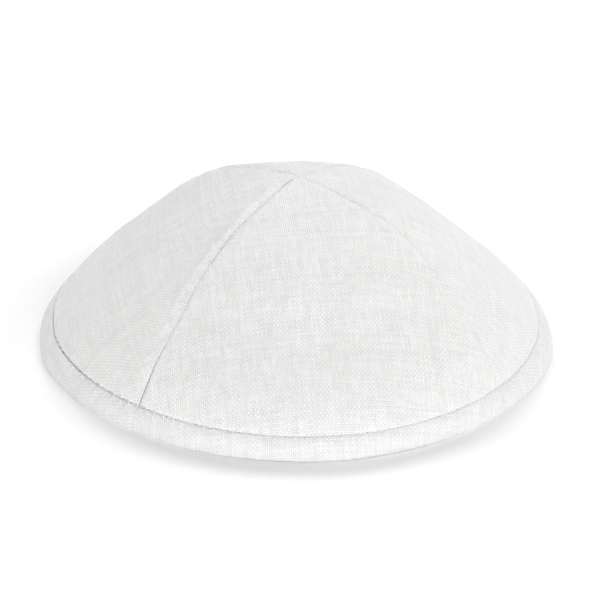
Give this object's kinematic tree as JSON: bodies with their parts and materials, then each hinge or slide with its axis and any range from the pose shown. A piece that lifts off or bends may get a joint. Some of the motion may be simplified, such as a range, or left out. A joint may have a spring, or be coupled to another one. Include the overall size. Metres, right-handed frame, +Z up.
{
  "type": "kippah skullcap",
  "caption": "Low domed skullcap of white linen gores with a stitched, turned-up hem, lying mouth down.",
  "frame": {"origin": "on the surface that the cap lies on, under the middle of its top", "axes": "+Z up through the top of the crown; the front gore faces -Y"},
  "size_m": [0.1711, 0.1714, 0.0582],
  "materials": {
    "crown_linen": "matte plain weave",
    "hem_linen": "matte plain weave",
    "thread": "matte sewing thread"
  },
  "bodies": {
    "root": {"gore_front": "crown_linen", "gore_right": "crown_linen", "gore_back": "crown_linen", "gore_left": "crown_linen", "hem_front": "hem_linen", "hem_right": "hem_linen", "hem_back": "hem_linen", "hem_left": "hem_linen"}
  },
  "joints": []
}
